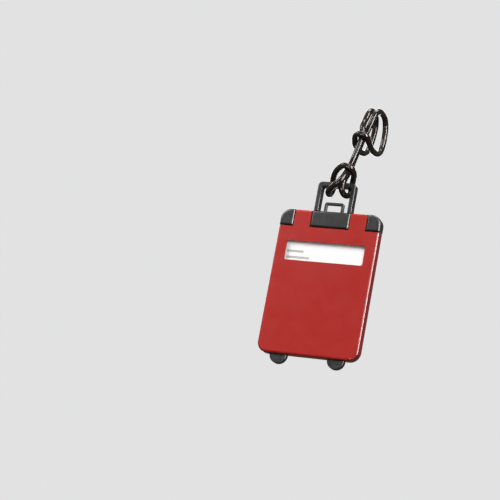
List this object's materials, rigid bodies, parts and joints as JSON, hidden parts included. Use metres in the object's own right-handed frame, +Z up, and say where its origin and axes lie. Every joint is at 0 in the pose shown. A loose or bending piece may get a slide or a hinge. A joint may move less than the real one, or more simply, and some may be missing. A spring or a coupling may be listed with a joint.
{
  "type": "luggage tag",
  "caption": "Suitcase-shaped luggage tag: a hard sleeve with a label window over a card tray, small handle frame, turning wheels and a looped vinyl cord.",
  "frame": {"origin": "middle of the space inside the cord's upper loop, where the suitcase handle goes", "axes": "+X to the right of the label side, -Y the way the label faces, +Z up along the tag"},
  "size_m": [0.055, 0.0354, 0.1446],
  "materials": {
    "red_plastic": "semi-gloss moulded red plastic",
    "black_plastic": "satin black moulded plastic",
    "wheel_plastic": "satin black plastic",
    "card": "matt white card, ruled lines only",
    "clear_film": "thin clear plastic film",
    "smoke_vinyl": "glossy see-through smoke vinyl"
  },
  "bodies": {
    "cord": {"cord": "smoke_vinyl"},
    "insert": {"insert_tray": "black_plastic", "pull_handle": "black_plastic", "carry_handle": "black_plastic", "name_card": "card"},
    "sleeve": {"front_shell": "red_plastic", "rear_shell": "red_plastic", "window_film": "clear_film"},
    "wheel_left": {"wheel_left": "wheel_plastic"},
    "wheel_right": {"wheel_right": "wheel_plastic"}
  },
  "joints": [
    {"name": "tag_swing", "type": "hinge", "parent": "cord", "child": "insert", "pos_m": [-0.0075, -0.0141, -0.03515], "axis": [1, 0, 0], "range_deg": [-60, 60]},
    {"name": "sleeve_slide", "type": "slide", "parent": "insert", "child": "sleeve", "axis": [0, 0, -1], "range_m": [0, 0.08]},
    {"name": "wheel_left_spin", "type": "hinge", "parent": "sleeve", "child": "wheel_left", "pos_m": [-0.0231, -0.01385, -0.1273], "axis": [0, 1, 0], "continuous": true},
    {"name": "wheel_right_spin", "type": "hinge", "parent": "sleeve", "child": "wheel_right", "pos_m": [0.0081, -0.01385, -0.1273], "axis": [0, 1, 0], "continuous": true}
  ]
}
